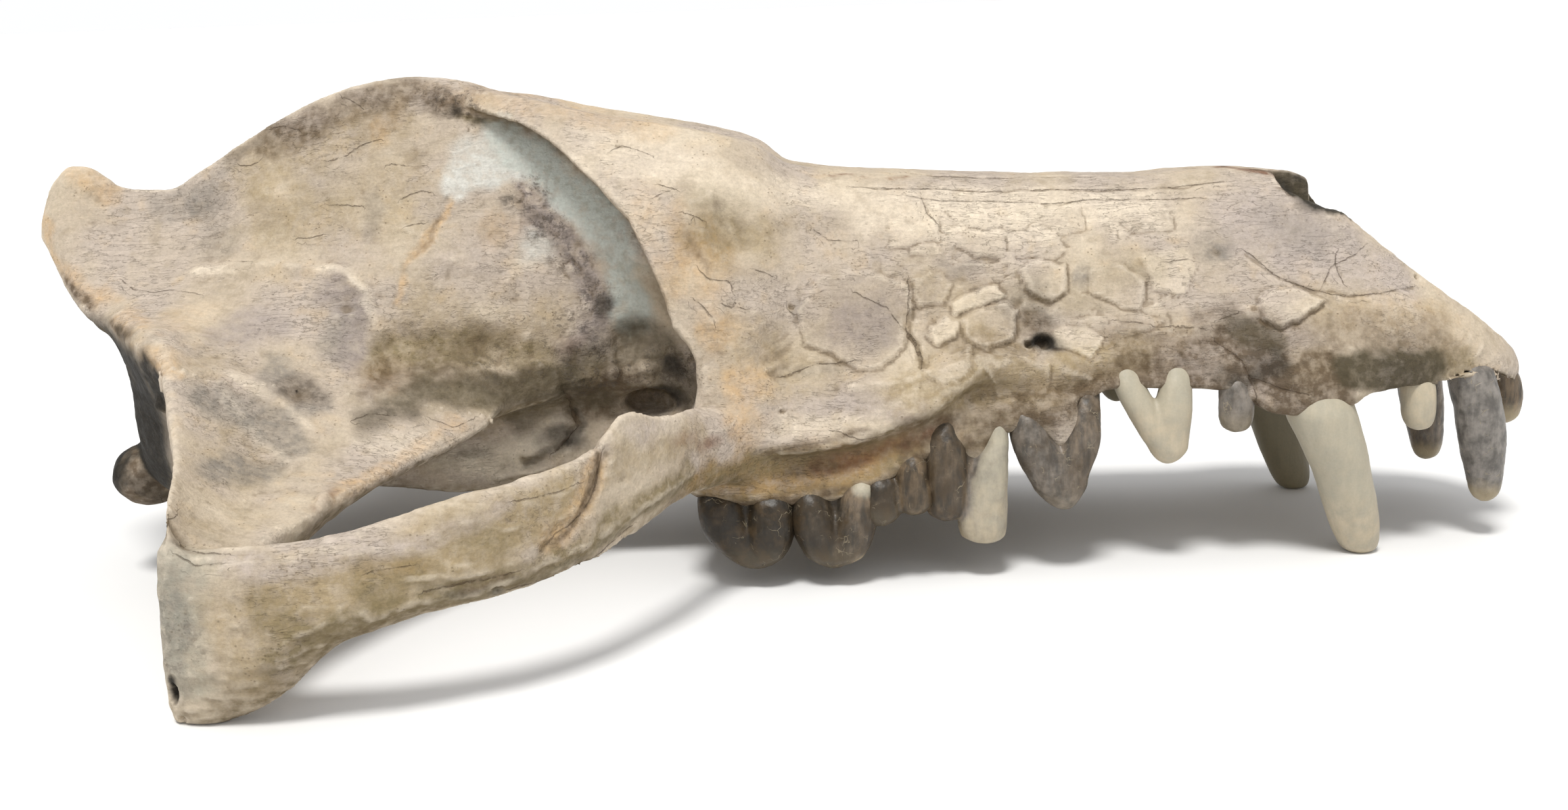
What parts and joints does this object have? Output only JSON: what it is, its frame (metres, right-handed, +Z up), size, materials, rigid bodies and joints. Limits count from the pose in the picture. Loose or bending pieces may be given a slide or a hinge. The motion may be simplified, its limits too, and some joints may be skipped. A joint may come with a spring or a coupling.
{
  "type": "fossil andrewsarchus skull",
  "caption": "Fossil skull of a giant long-snouted extinct hoofed predator, no lower jaw: tall crest behind, wide cheek arches, long narrow snout, worn back teeth and big canines.",
  "frame": {"origin": "centre of the skull's box at table level; it rests on the tips of both canines and on the rear ends of both cheek arches", "axes": "+X to the tip of the snout, +Y to the animal's left, +Z up"},
  "size_m": [0.8594, 0.5616, 0.279],
  "materials": {
    "bone": "matte",
    "canine": "satin"
  },
  "bodies": {
    "root": {"braincase": "bone", "face": "bone", "cheek_arch_right": "bone", "cheek_arch_left": "bone", "canine_right": "canine", "canine_left": "canine"}
  },
  "joints": []
}
